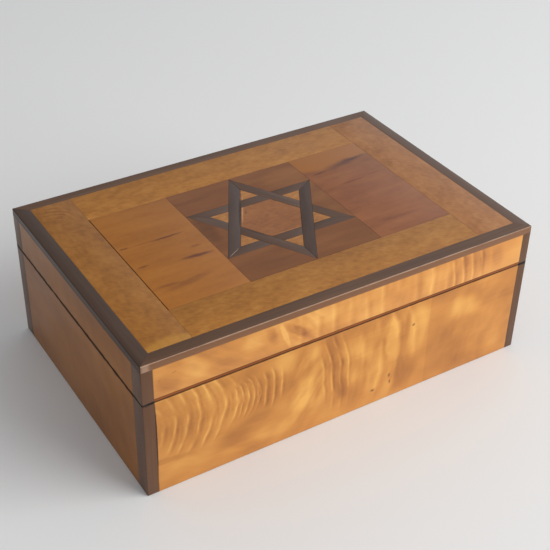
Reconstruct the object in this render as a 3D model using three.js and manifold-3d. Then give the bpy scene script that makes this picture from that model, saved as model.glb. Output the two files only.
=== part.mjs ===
// A hinged wooden box with an inlaid lid: a veneered carcass, dark corner strips and edging, and a
// six-pointed star of half-lapped strips let into a panel in the middle of the lid. Millimetres. +X runs
// along the front from left to right, +Y from front to back and +Z up. The origin is under the middle of
// the box, on the surface it stands on.
import * as THREE from 'three';
import { mergeVertices } from 'three/addons/utils/BufferGeometryUtils.js';
import Module from 'manifold-3d';

const wasm = await Module();
wasm.setup();

// Overall size
const BOX_WIDTH = 300;
const BOX_DEPTH = 200;
const BOX_HEIGHT = 105;
const RIM_HEIGHT = 75; // where the lid parts from the base
const RIM_GAP = 0.5; // open line between the lid's and the base's outer skins

// Carcass and skins
const BOARD = 10.5; // thickness of the carcass walls
const BOTTOM_BOARD = 6;
const TOP_BOARD = 8;
const VENEER = 1.5;
const CORNER_DEPTH = 12; // corner strips, measured along the sides of the box
const CORNER_LEFT_WIDTH = 8; // corner strips, measured along the front and back
const CORNER_RIGHT_WIDTH = 7;
const FRONT_LINE = 2; // height of the reddish strip on the lid's lower front edge

// Edging round the top, and the veneers inside it
const EDGING_HEIGHT = 5;
const EDGING_LEFT = 10;
const EDGING_RIGHT = 9;
const EDGING_FRONT = 9.5;
const EDGING_BACK = 8.5;
const BORDER_X = 110.5; // the end borders start this far from the middle
const PANEL_X = 51.25; // half the star panel's width
const PANEL_Y = 59.25; // half its depth, and that of the fields beside it
const LEFT_FIELD_GAP = 0.5; // shrinkage crack beside the left field

// Star
const STAR_RADIUS = 58.7; // centre to tip
const STRIP_WIDTH = 8.3;
const STAR_FIT = 0.1; // clearance round each let-in piece
const CENTRE_FIT = 0.25; // the hexagon has shrunk a little more

// Hinges: a pair of stopped brass butts
const HINGE_X = 95; // each hinge's middle, from the middle of the box
const HINGE_LENGTH = 38;
const LEAF_INNER_Y = 90.5; // the leaf's inner edge
const LEAF = 1.625;
const MORTISE = 1.75; // depth of the leaf's bed in the rim
const HINGE_AXIS_Y = BOX_DEPTH / 2 + 0.75;
const KNUCKLE_RADIUS = 2;
const KNUCKLE_COUNT = 5;
const KNUCKLE_GAP = 0.25;
const KNUCKLE_SIDES = 18;
const PIN_RADIUS = 0.9;
const PIN_CLEARANCE = 0.08;
const LIP_INNER_RADIUS = 2.125; // stop lip, clear of the other leaf's knuckles
const LIP_OUTER_RADIUS = 2.9;
const OPEN_ANGLE = 100; // the stop lips meet when the lid is this far open
const LIP_CLEARANCE_ANGLE = 0.5;
const LIP_SPAN_ANGLE = 50;
const LIP_STEPS = 4;
const SCREW_PITCH = 13;
const SCREW_Y = 94.5;
const SCREW_HEAD_RADIUS = 2.1;
const SCREW_SHANK_RADIUS = 1.2;
const SCREW_SIDES = 14;
const HINGE_FIT = 0.125;
const CUT_MARGIN = 1; // how far a cutting solid runs past the piece it cuts

// Sizes that follow
const HALF_WIDTH = BOX_WIDTH / 2;
const HALF_DEPTH = BOX_DEPTH / 2;
const CORNER_LEFT_X = -HALF_WIDTH + CORNER_LEFT_WIDTH;
const CORNER_RIGHT_X = HALF_WIDTH - CORNER_RIGHT_WIDTH;
const CORNER_Y = HALF_DEPTH - CORNER_DEPTH;
const SKIN_X = HALF_WIDTH - VENEER; // the carcass's outer faces
const SKIN_Y = HALF_DEPTH - VENEER;
const INSIDE_X = SKIN_X - BOARD;
const INSIDE_Y = SKIN_Y - BOARD;
const BASE_SKIN_TOP = RIM_HEIGHT - RIM_GAP / 2;
const LID_SKIN_BOTTOM = RIM_HEIGHT + RIM_GAP / 2;
const EDGING_BOTTOM = BOX_HEIGHT - EDGING_HEIGHT;
const INLAY_BOTTOM = BOX_HEIGHT - VENEER;
const TOP_BOARD_BOTTOM = INLAY_BOTTOM - TOP_BOARD;
const TOP_LEFT = -HALF_WIDTH + EDGING_LEFT; // the area inside the edging
const TOP_RIGHT = HALF_WIDTH - EDGING_RIGHT;
const TOP_FRONT = -HALF_DEPTH + EDGING_FRONT;
const TOP_BACK = HALF_DEPTH - EDGING_BACK;

const FINISHES = {
  carcass: { color: 0x8a5f3c, roughness: 0.6, metalness: 0 },
  honeyVeneer: { color: 0xd9994f, roughness: 0.35, metalness: 0 },
  borderVeneer: { color: 0xa87038, roughness: 0.35, metalness: 0 },
  streakedVeneer: { color: 0xa5672f, roughness: 0.35, metalness: 0 },
  pinkishVeneer: { color: 0x8a5c46, roughness: 0.35, metalness: 0 },
  brownVeneer: { color: 0x84583f, roughness: 0.35, metalness: 0 },
  centreVeneer: { color: 0x9e6948, roughness: 0.35, metalness: 0 },
  pointVeneer: { color: 0xb07841, roughness: 0.35, metalness: 0 },
  darkEdging: { color: 0x54423a, roughness: 0.4, metalness: 0 },
  redStrip: { color: 0x7d3f1a, roughness: 0.45, metalness: 0 },
  brass: { color: 0xb08d4a, roughness: 0.35, metalness: 1 },
};
const MATERIALS = Object.fromEntries(
  Object.entries(FINISHES).map(([name, finish]) => [name, new THREE.MeshStandardMaterial(finish)]),
);

function piece(name, material, geometry) {
  const mesh = new THREE.Mesh(geometry, MATERIALS[material]);
  mesh.name = name;
  return mesh;
}

// A block between two corners: x, y and z are each [low, high].
function block(x, y, z) {
  const geometry = new THREE.BoxGeometry(x[1] - x[0], y[1] - y[0], z[1] - z[0]);
  return geometry.translate((x[0] + x[1]) / 2, (y[0] + y[1]) / 2, (z[0] + z[1]) / 2);
}

// An outline in the XY plane, given a thickness from z[0] to z[1].
function slab(outline, z, holes = []) {
  const shape = new THREE.Shape(outline);
  shape.holes = holes.map((hole) => new THREE.Path(hole));
  const geometry = new THREE.ExtrudeGeometry(shape, { depth: z[1] - z[0], bevelEnabled: false });
  return geometry.translate(0, 0, z[0]);
}

// An outline in the YZ plane, extended from x[0] to x[1].
function barAlongX(outline, x) {
  const shape = new THREE.Shape(outline);
  const geometry = new THREE.ExtrudeGeometry(shape, { depth: x[1] - x[0], bevelEnabled: false });
  const turn = new THREE.Matrix4().makeBasis(
    new THREE.Vector3(0, 1, 0),
    new THREE.Vector3(0, 0, 1),
    new THREE.Vector3(1, 0, 0),
  );
  return geometry.applyMatrix4(turn).translate(x[0], 0, 0);
}

function toSolid(geometry) {
  const bare = geometry.clone();
  bare.deleteAttribute('normal');
  bare.deleteAttribute('uv');
  const merged = mergeVertices(bare);
  return new wasm.Manifold(new wasm.Mesh({
    numProp: 3,
    vertProperties: new Float32Array(merged.attributes.position.array),
    triVerts: new Uint32Array(merged.index.array),
  }));
}

function fromSolid(solid) {
  const mesh = solid.getMesh();
  const geometry = new THREE.BufferGeometry();
  geometry.setAttribute('position', new THREE.BufferAttribute(mesh.vertProperties, 3));
  geometry.setIndex(new THREE.BufferAttribute(mesh.triVerts, 1));
  geometry.computeVertexNormals();
  return geometry;
}

function join(geometries) {
  return fromSolid(geometries.map(toSolid).reduce((whole, next) => whole.add(next)));
}

function cut(geometry, cutters) {
  return fromSolid(cutters.map(toSolid).reduce((whole, next) => whole.subtract(next), toSolid(geometry)));
}

function point(radius, degrees) {
  const angle = THREE.MathUtils.degToRad(degrees);
  return new THREE.Vector2(radius * Math.cos(angle), radius * Math.sin(angle));
}

function rectangle(x, y) {
  return [
    new THREE.Vector2(x[0], y[0]),
    new THREE.Vector2(x[1], y[0]),
    new THREE.Vector2(x[1], y[1]),
    new THREE.Vector2(x[0], y[1]),
  ];
}

function addBlocks(group, material, blocks) {
  for (const [name, spans] of Object.entries(blocks)) {
    group.add(piece(name, material, block(...spans)));
  }
}

// --- Walls, skins and corner strips ------------------------------------------------------------------

// The cuts in a back wall's rim, one for each hinge: from y back through the outer face, and from the rim
// to the level z.
function rimCuts(y, z) {
  const half = HINGE_LENGTH / 2 + HINGE_FIT;
  const clear = RIM_HEIGHT - Math.sign(z - RIM_HEIGHT) * CUT_MARGIN;
  const levels = [Math.min(z, clear), Math.max(z, clear)];
  return [-HINGE_X, HINGE_X].map((x) => block([x - half, x + half], [y, HALF_DEPTH + CUT_MARGIN], levels));
}

// The four walls of the base or the lid. The front and back walls lap over the ends of the side walls.
function addWalls(group, prefix, z, rimSide) {
  const acrossX = [CORNER_LEFT_X, CORNER_RIGHT_X];
  const acrossY = [-CORNER_Y, CORNER_Y];
  addBlocks(group, 'carcass', {
    [`${prefix}_front_board`]: [acrossX, [-SKIN_Y, -CORNER_Y], z],
    [`${prefix}_left_board`]: [[-SKIN_X, -INSIDE_X], acrossY, z],
    [`${prefix}_right_board`]: [[INSIDE_X, SKIN_X], acrossY, z],
  });
  const beds = rimCuts(LEAF_INNER_Y - HINGE_FIT, RIM_HEIGHT + rimSide * MORTISE);
  group.add(piece(`${prefix}_back_board`, 'carcass', cut(block(acrossX, [CORNER_Y, SKIN_Y], z), beds)));
}

// The veneers on the four outer faces. frontZ differs where a strip runs along the front veneer's edge.
function addVeneers(group, prefix, z, frontZ, rimSide) {
  const acrossX = [CORNER_LEFT_X, CORNER_RIGHT_X];
  const acrossY = [-CORNER_Y, CORNER_Y];
  addBlocks(group, 'honeyVeneer', {
    [`${prefix}_front_veneer`]: [acrossX, [-HALF_DEPTH, -SKIN_Y], frontZ],
    [`${prefix}_left_veneer`]: [[-HALF_WIDTH, -SKIN_X], acrossY, z],
    [`${prefix}_right_veneer`]: [[SKIN_X, HALF_WIDTH], acrossY, z],
  });
  const notches = rimCuts(SKIN_Y - CUT_MARGIN, RIM_HEIGHT + rimSide * (KNUCKLE_RADIUS + KNUCKLE_GAP));
  const whole = block(acrossX, [SKIN_Y, HALF_DEPTH], z);
  group.add(piece(`${prefix}_back_veneer`, 'honeyVeneer', cut(whole, notches)));
}

function addCornerStrips(group, prefix, z) {
  const left = [-HALF_WIDTH, CORNER_LEFT_X];
  const right = [CORNER_RIGHT_X, HALF_WIDTH];
  const front = [-HALF_DEPTH, -CORNER_Y];
  const back = [CORNER_Y, HALF_DEPTH];
  addBlocks(group, 'darkEdging', {
    [`${prefix}_front_left_corner`]: [left, front, z],
    [`${prefix}_front_right_corner`]: [right, front, z],
    [`${prefix}_back_left_corner`]: [left, back, z],
    [`${prefix}_back_right_corner`]: [right, back, z],
  });
}

// --- Top of the lid ----------------------------------------------------------------------------------

// The top board covers the walls. Its corners are notched for the corner strips, and its upper edge is
// rebated for the edging.
function topBoard() {
  const lower = [
    new THREE.Vector2(CORNER_LEFT_X, -SKIN_Y),
    new THREE.Vector2(CORNER_RIGHT_X, -SKIN_Y),
    new THREE.Vector2(CORNER_RIGHT_X, -CORNER_Y),
    new THREE.Vector2(SKIN_X, -CORNER_Y),
    new THREE.Vector2(SKIN_X, CORNER_Y),
    new THREE.Vector2(CORNER_RIGHT_X, CORNER_Y),
    new THREE.Vector2(CORNER_RIGHT_X, SKIN_Y),
    new THREE.Vector2(CORNER_LEFT_X, SKIN_Y),
    new THREE.Vector2(CORNER_LEFT_X, CORNER_Y),
    new THREE.Vector2(-SKIN_X, CORNER_Y),
    new THREE.Vector2(-SKIN_X, -CORNER_Y),
    new THREE.Vector2(CORNER_LEFT_X, -CORNER_Y),
  ];
  return join([
    slab(lower, [TOP_BOARD_BOTTOM, EDGING_BOTTOM]),
    block([TOP_LEFT, TOP_RIGHT], [TOP_FRONT, TOP_BACK], [EDGING_BOTTOM, INLAY_BOTTOM]),
  ]);
}

// The edging's four lengths, mitred from each outer corner of the box to the matching inner corner.
function addEdging(group) {
  const outer = rectangle([-HALF_WIDTH, HALF_WIDTH], [-HALF_DEPTH, HALF_DEPTH]);
  const inner = rectangle([TOP_LEFT, TOP_RIGHT], [TOP_FRONT, TOP_BACK]);
  ['front', 'right', 'back', 'left'].forEach((side, i) => {
    const next = (i + 1) % outer.length;
    const outline = [outer[i], outer[next], inner[next], inner[i]];
    group.add(piece(`lid_${side}_edging`, 'darkEdging', slab(outline, [EDGING_BOTTOM, BOX_HEIGHT])));
  });
}

function addTopVeneers(group) {
  const z = [INLAY_BOTTOM, BOX_HEIGHT];
  const middleX = [-BORDER_X, BORDER_X];
  const middleY = [-PANEL_Y, PANEL_Y];
  addBlocks(group, 'borderVeneer', {
    lid_left_border: [[TOP_LEFT, -BORDER_X], [TOP_FRONT, TOP_BACK], z],
    lid_right_border: [[BORDER_X, TOP_RIGHT], [TOP_FRONT, TOP_BACK], z],
    lid_front_border: [middleX, [TOP_FRONT, -PANEL_Y], z],
    lid_back_border: [middleX, [PANEL_Y, TOP_BACK], z],
  });
  addBlocks(group, 'streakedVeneer', {
    lid_left_field: [[-BORDER_X + LEFT_FIELD_GAP, -PANEL_X], middleY, z],
  });
  addBlocks(group, 'pinkishVeneer', {
    lid_right_field: [[PANEL_X, BORDER_X], middleY, z],
  });
}

// --- Star --------------------------------------------------------------------------------------------

const STAR_SIDES = 6;
const STRIP_OUTER = STAR_RADIUS / 2; // a strip's two edges, from the star's centre
const STRIP_INNER = STRIP_OUTER - STRIP_WIDTH;
// The layer of the first three strips, and of the three opposite them: the pair that leans to the right lies
// over all that it crosses, and the level pair lies under.
const STRIP_LAYERS = [0, 2, 1];
const COS_30 = Math.cos(Math.PI / 6);

function starOutline(radius) {
  return Array.from({ length: 2 * STAR_SIDES }, (_, i) => {
    const isTip = i % 2 === 0;
    return point(isTip ? radius : radius / (2 * COS_30), 90 + (i * 180) / STAR_SIDES);
  });
}

// The part of the lowest strip that a neighbouring strip crosses, as a cutter. turn is 1 or -1, for the
// neighbour that is the lowest strip turned 60 degrees that way.
function crossing(turn, z) {
  const near = STRIP_INNER - STAR_FIT;
  const far = STRIP_OUTER + STAR_FIT;
  const low = -STRIP_OUTER - CUT_MARGIN;
  const high = -STRIP_INNER + CUT_MARGIN;
  // The neighbour's edges, where its own outward direction reaches a given distance from the centre.
  const edgeX = (distance, y) => (turn * (distance + y / 2)) / COS_30;
  const outline = [
    new THREE.Vector2(edgeX(near, low), low),
    new THREE.Vector2(edgeX(far, low), low),
    new THREE.Vector2(edgeX(far, high), high),
    new THREE.Vector2(edgeX(near, high), high),
  ];
  return slab(turn > 0 ? outline : outline.reverse(), z);
}

// One strip, lying along X below the centre, with mitred ends. Where it crosses a neighbour, the one in the
// higher layer passes over the other, and each has half of its thickness cut away.
function starStrip(index) {
  const outerTip = STAR_RADIUS * COS_30 - STAR_FIT;
  const innerTip = (STAR_RADIUS - 2 * STRIP_WIDTH) * COS_30 - STAR_FIT;
  const outline = [
    new THREE.Vector2(-outerTip, -STRIP_OUTER),
    new THREE.Vector2(outerTip, -STRIP_OUTER),
    new THREE.Vector2(innerTip, -STRIP_INNER),
    new THREE.Vector2(-innerTip, -STRIP_INNER),
  ];
  const middle = VENEER / 2;
  const layer = (i) => STRIP_LAYERS[(i + STAR_SIDES) % STRIP_LAYERS.length];
  const lap = (turn) => {
    const isOver = layer(index) > layer(index + turn);
    const below = [-CUT_MARGIN, middle + STAR_FIT / 2];
    const above = [middle - STAR_FIT / 2, VENEER + CUT_MARGIN];
    return crossing(turn, isOver ? below : above);
  };
  return cut(slab(outline, [0, VENEER]), [lap(1), lap(-1)]);
}

function starPoint() {
  const apex = STAR_RADIUS - 2 * STRIP_WIDTH;
  const halfBase = (apex - STRIP_OUTER) * Math.tan(Math.PI / 6);
  const base = STRIP_OUTER + STAR_FIT;
  return slab([
    new THREE.Vector2(-halfBase + 2 * STAR_FIT, base),
    new THREE.Vector2(halfBase - 2 * STAR_FIT, base),
    new THREE.Vector2(0, apex - 2 * STAR_FIT),
  ], [0, VENEER]);
}

function makeStar() {
  const star = new THREE.Group();
  star.position.set(0, 0, INLAY_BOTTOM);
  const z = [0, VENEER];
  const panel = rectangle([-PANEL_X, PANEL_X], [-PANEL_Y, PANEL_Y]);
  star.add(piece('star_ground', 'brownVeneer', slab(panel, z, [starOutline(STAR_RADIUS + 2 * STAR_FIT)])));
  const centreRadius = (STRIP_INNER - CENTRE_FIT) / COS_30;
  const centre = Array.from({ length: STAR_SIDES }, (_, i) => point(centreRadius, (i * 360) / STAR_SIDES));
  star.add(piece('star_centre', 'centreVeneer', slab(centre, z)));
  for (let i = 0; i < STAR_SIDES; i += 1) {
    const strip = piece(`star_strip_${i + 1}`, 'darkEdging', starStrip(i));
    const small = piece(`star_point_${i + 1}`, 'pointVeneer', starPoint());
    strip.rotation.z = (i * 2 * Math.PI) / STAR_SIDES;
    small.rotation.z = (i * 2 * Math.PI) / STAR_SIDES;
    star.add(strip, small);
  }
  return star;
}

// --- Hinges ------------------------------------------------------------------------------------------

// These are drawn round the hinge's own axis, which runs along X through the origin, with the leaf below
// it. The lid's leaf is the same kind of piece turned over.
const LEAF_FRONT = LEAF_INNER_Y - HINGE_AXIS_Y;
const LEAF_BACK = SKIN_Y - HINGE_AXIS_Y;
const LEAF_TOP = LEAF - MORTISE;

function circle(radius) {
  return Array.from({ length: KNUCKLE_SIDES }, (_, i) => point(radius, (i * 360) / KNUCKLE_SIDES));
}

// The stop lip's section: a sector between two radii, below and behind the axis.
function lipSection(innerRadius) {
  const first = OPEN_ANGLE / 2 + LIP_CLEARANCE_ANGLE;
  const angles = Array.from(
    { length: LIP_STEPS + 1 },
    (_, i) => -first - (i * LIP_SPAN_ANGLE) / LIP_STEPS,
  );
  const outer = angles.map((angle) => point(LIP_OUTER_RADIUS, angle));
  const inner = angles.map((angle) => point(innerRadius, angle));
  return [...inner, ...outer.reverse()];
}

function knuckleSpan(index) {
  const pitch = HINGE_LENGTH / KNUCKLE_COUNT;
  const start = -HINGE_LENGTH / 2 + index * pitch;
  const startGap = index === 0 ? 0 : KNUCKLE_GAP / 2;
  const endGap = index === KNUCKLE_COUNT - 1 ? 0 : KNUCKLE_GAP / 2;
  return [start + startGap, start + pitch - endGap];
}

// A countersunk hole down through the leaf, as a cutter.
function screwHole(x) {
  const profile = [
    new THREE.Vector2(0, -MORTISE - CUT_MARGIN),
    new THREE.Vector2(SCREW_SHANK_RADIUS, -MORTISE - CUT_MARGIN),
    new THREE.Vector2(SCREW_SHANK_RADIUS, LEAF_TOP - SCREW_HEAD_RADIUS + SCREW_SHANK_RADIUS),
    new THREE.Vector2(SCREW_HEAD_RADIUS, LEAF_TOP),
    new THREE.Vector2(SCREW_HEAD_RADIUS, LEAF_TOP + CUT_MARGIN),
    new THREE.Vector2(0, LEAF_TOP + CUT_MARGIN),
  ];
  const hole = new THREE.LatheGeometry(profile, SCREW_SIDES).rotateX(Math.PI / 2);
  return hole.translate(x, SCREW_Y - HINGE_AXIS_Y, 0);
}

function hingeLeaf(knuckles) {
  const wholeLength = [-HINGE_LENGTH / 2, HINGE_LENGTH / 2];
  const pastEnds = [wholeLength[0] - CUT_MARGIN, wholeLength[1] + CUT_MARGIN];
  const z = [-MORTISE, LEAF_TOP];
  const parts = [
    block(wholeLength, [LEAF_FRONT, LEAF_BACK], z),
    barAlongX(lipSection(LIP_INNER_RADIUS), wholeLength),
  ];
  for (const index of knuckles) {
    const span = knuckleSpan(index);
    parts.push(block(span, [LEAF_BACK, 0], z));
    parts.push(barAlongX(circle(KNUCKLE_RADIUS), span));
    parts.push(barAlongX(lipSection(PIN_RADIUS + PIN_CLEARANCE), span));
  }
  const bore = barAlongX(circle(PIN_RADIUS + PIN_CLEARANCE), pastEnds);
  const holes = [-SCREW_PITCH, 0, SCREW_PITCH].map(screwHole);
  return cut(join(parts), [bore, ...holes]);
}

function addHinges(base, lid) {
  for (const [side, x] of [['left', -HINGE_X], ['right', HINGE_X]]) {
    const baseLeaf = piece(`hinge_${side}_base_leaf`, 'brass', hingeLeaf([0, 2, 4]));
    const lidLeaf = piece(`hinge_${side}_lid_leaf`, 'brass', hingeLeaf([1, 3]));
    const rod = barAlongX(circle(PIN_RADIUS), [-HINGE_LENGTH / 2, HINGE_LENGTH / 2]);
    const pin = piece(`hinge_${side}_pin`, 'brass', rod);
    lidLeaf.rotation.y = Math.PI;
    for (const mesh of [baseLeaf, lidLeaf, pin]) {
      mesh.position.set(x, HINGE_AXIS_Y, RIM_HEIGHT);
    }
    base.add(baseLeaf, pin);
    lid.add(lidLeaf);
  }
}

// --- The box -----------------------------------------------------------------------------------------

const base = new THREE.Group();
addWalls(base, 'base', [0, RIM_HEIGHT], -1);
addVeneers(base, 'base', [0, BASE_SKIN_TOP], [0, BASE_SKIN_TOP], -1);
addCornerStrips(base, 'base', [0, BASE_SKIN_TOP]);
addBlocks(base, 'carcass', {
  base_bottom_board: [[-INSIDE_X, INSIDE_X], [-INSIDE_Y, INSIDE_Y], [0, BOTTOM_BOARD]],
});

const lid = new THREE.Group();
const lineTop = LID_SKIN_BOTTOM + FRONT_LINE;
addWalls(lid, 'lid', [RIM_HEIGHT, TOP_BOARD_BOTTOM], 1);
addVeneers(lid, 'lid', [LID_SKIN_BOTTOM, EDGING_BOTTOM], [lineTop, EDGING_BOTTOM], 1);
addCornerStrips(lid, 'lid', [LID_SKIN_BOTTOM, EDGING_BOTTOM]);
addBlocks(lid, 'redStrip', {
  lid_front_line: [[CORNER_LEFT_X, CORNER_RIGHT_X], [-HALF_DEPTH, -SKIN_Y], [LID_SKIN_BOTTOM, lineTop]],
});
lid.add(piece('lid_top_board', 'carcass', topBoard()));
addEdging(lid);
addTopVeneers(lid);
lid.add(makeStar());
addHinges(base, lid);

const box = new THREE.Group();
box.add(base, lid);
export default box;
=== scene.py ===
"""An inlaid wooden box with a hinged lid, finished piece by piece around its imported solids.

Every length in a field or a constant is in millimetres unless its name says otherwise, and every
mesh is in metres. The box stands on z = 0 with its front towards -Y and its width along X.
"""

import logging
import math
from collections.abc import Mapping, Sequence
from dataclasses import dataclass, field, replace
from enum import Enum, IntEnum
from functools import partial

import bmesh
import bpy
from mathutils import Matrix, Vector


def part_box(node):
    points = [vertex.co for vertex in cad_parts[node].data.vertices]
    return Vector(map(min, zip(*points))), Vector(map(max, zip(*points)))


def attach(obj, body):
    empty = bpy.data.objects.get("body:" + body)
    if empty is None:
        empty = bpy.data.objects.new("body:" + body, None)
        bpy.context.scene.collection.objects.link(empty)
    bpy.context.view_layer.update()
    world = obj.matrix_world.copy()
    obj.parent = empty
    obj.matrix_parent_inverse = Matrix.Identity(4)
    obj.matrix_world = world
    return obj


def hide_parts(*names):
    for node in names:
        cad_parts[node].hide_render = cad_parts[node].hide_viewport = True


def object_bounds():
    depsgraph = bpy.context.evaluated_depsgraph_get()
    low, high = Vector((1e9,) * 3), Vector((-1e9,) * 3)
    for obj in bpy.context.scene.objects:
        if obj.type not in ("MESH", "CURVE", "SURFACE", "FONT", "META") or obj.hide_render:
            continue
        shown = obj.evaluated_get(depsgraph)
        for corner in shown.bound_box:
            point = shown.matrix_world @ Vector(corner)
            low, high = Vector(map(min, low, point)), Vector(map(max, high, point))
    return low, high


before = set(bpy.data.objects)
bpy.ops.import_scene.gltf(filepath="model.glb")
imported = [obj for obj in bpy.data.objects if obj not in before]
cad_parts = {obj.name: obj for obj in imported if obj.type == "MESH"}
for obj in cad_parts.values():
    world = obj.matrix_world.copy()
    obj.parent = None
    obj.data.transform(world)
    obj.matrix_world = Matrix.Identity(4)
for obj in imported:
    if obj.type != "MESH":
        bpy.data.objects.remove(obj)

log = logging.getLogger("inlaid_box")

MM = 0.001
CAD_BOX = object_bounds()
LOW, HIGH = CAD_BOX  # in metres, as the solids are
# The walls' outer faces and the top, which the hinges' knuckles stand behind.
OUTER = Vector((HIGH.x, -LOW.y, HIGH.z))
BASE, LID = "base", "lid"
RIM = (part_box("base_back_board")[1].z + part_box("lid_back_board")[0].z) / 2 / MM


# ---------------------------------------------------------------- nodes and colours


def linear(shade: str) -> tuple[float, float, float, float]:
    """Turns an sRGB hex colour into linear light.

    Args:
        shade: The colour as "#rrggbb".

    Returns:
        Red, green, blue and an alpha of 1.
    """
    levels = [int(shade[i : i + 2], 16) / 255 for i in (1, 3, 5)]
    bright = [c / 12.92 if c <= 0.04045 else ((c + 0.055) / 1.055) ** 2.4 for c in levels]
    return (*bright, 1.0)


def add(
    tree: bpy.types.NodeTree,
    kind: str,
    inputs: Mapping | Sequence = (),
    stops: Sequence[tuple[float, str]] = (),
    **settings: object,
) -> bpy.types.Node:
    """Adds one node with its settings, its values and its links.

    Args:
        tree: The tree that the node is made in.
        kind: The node's type name.
        inputs: A value, socket or node for each input, in order or by identifier or name.
            None leaves an input as it is.
        stops: Places and sRGB hex colours, for a node with a colour ramp.
        settings: The node's own settings.

    Returns:
        The node.
    """
    made = tree.nodes.new(kind)
    for name, value in settings.items():
        setattr(made, name, value)
    given = inputs.items() if isinstance(inputs, Mapping) else enumerate(inputs)
    for key, value in given:
        if value is None:
            continue
        if isinstance(key, int):
            socket = made.inputs[key]
        else:
            socket = next(s for s in made.inputs if key in (s.identifier, s.name))
        if isinstance(value, bpy.types.Node):
            value = next(s for s in value.outputs if s.enabled)
        if isinstance(value, bpy.types.NodeSocket):
            tree.links.new(value, socket)
        else:
            socket.default_value = value
    if stops:
        ramp = made.color_ramp
        while len(ramp.elements) < len(stops):
            ramp.elements.new(0.5)
        for element, (place, shade) in zip(ramp.elements, stops, strict=True):
            element.position = place
            element.color = linear(shade)
    return made


# ---------------------------------------------------------------- the words of a timber

MATH = "ShaderNodeMath"
VECTOR = "ShaderNodeVectorMath"
PLACE = "ShaderNodeMapping"
BETWEEN = "ShaderNodeMapRange"
BLEND = "ShaderNodeMix"


class Face(Enum):
    """The show face of a piece, as its own across and up axes."""

    TOP = "xy"
    FRONT = "xz"
    SIDE = "yz"


class Run(Enum):
    """The way the fibres run, as the axes along, across and deep."""

    X = "xyz"
    Y = "yxz"
    Z = "zxy"


class Draw(IntEnum):
    """Shifts each kind of random pattern, so that no two on a piece line up."""

    CLOUD = 1
    FIBRE = 2
    MOTTLE = 3
    GLUE = 5
    HANDLING = 6
    RIPPLE = 11
    SWELL = 23
    MARK = 41
    QUILT = 61
    BLOTCH = 71
    ARRIS = 81
    PARTING = 83
    GLOW = 91


# A random pattern is shifted by this share of its seed along each axis.
SHIFT = Vector((1.0, 1.7, 0.6))
# The folds' swell is noise stretched by this gain and dropped by this much, then held to 0 to 1.
SWELL_GAIN, SWELL_DROP = 3.4, 1.0
CREST_POWER = 9.0


@dataclass(frozen=True)
class Edge:
    """An uneven band along an edge: the length of its wide and narrow parts, and its full core."""

    lump: float
    core: float
    draw: Draw
    detail: float = 3.0


GLUE_EDGE = Edge(9.0, 0.0, Draw.GLUE, 2.0)
PARTING_EDGE = Edge(7.0, 0.3, Draw.PARTING)
ARRIS_EDGE = Edge(14.0, 0.15, Draw.ARRIS)


@dataclass(frozen=True)
class Patch:
    """A soft oval on the show face: its middle, its half sizes and its turn in degrees.

    Its core is the share of its reach at which it is full.
    """

    place: tuple[float, float]
    reach: tuple[float, float]
    tilt: float = 0.0
    core: float = 0.3


@dataclass(frozen=True)
class Glow:
    """A lighter or darker area, where the fibres lie towards or away from the light."""

    where: Patch
    strength: float
    ragged: float = 0.3


@dataclass(frozen=True)
class Ripple:
    """Folds of light and shade across a patch, bowed to a radius, where the fibres wave.

    Each fold climbs slowly and drops at once by its skew, and its crest may carry a bright line.
    """

    spacing: float
    where: Patch
    strength: float
    bow: float | None = None
    warp: float = 2.0
    skew: float = 0.6
    crest: float = 0.0


@dataclass(frozen=True)
class Quilt:
    """Blotches of light and shade, where the fibres dip and rise."""

    size: tuple[float, float]
    where: Patch
    strength: float
    tilt: float = 0.0
    crisp: float = 0.5


@dataclass(frozen=True)
class Mark:
    """A stain, streak or bright patch of one colour."""

    where: Patch
    strength: float
    shade: str = "#56281a"
    ragged: float = 0.35


@dataclass(frozen=True)
class Spot:
    """Where a piece lies and how its timber is laid, for the patterns on it.

    The turn, in degrees, swings the fibres about the show face.
    """

    name: str
    face: Face
    run: Run
    low: Vector
    high: Vector
    turn: float = 0.0


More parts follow.
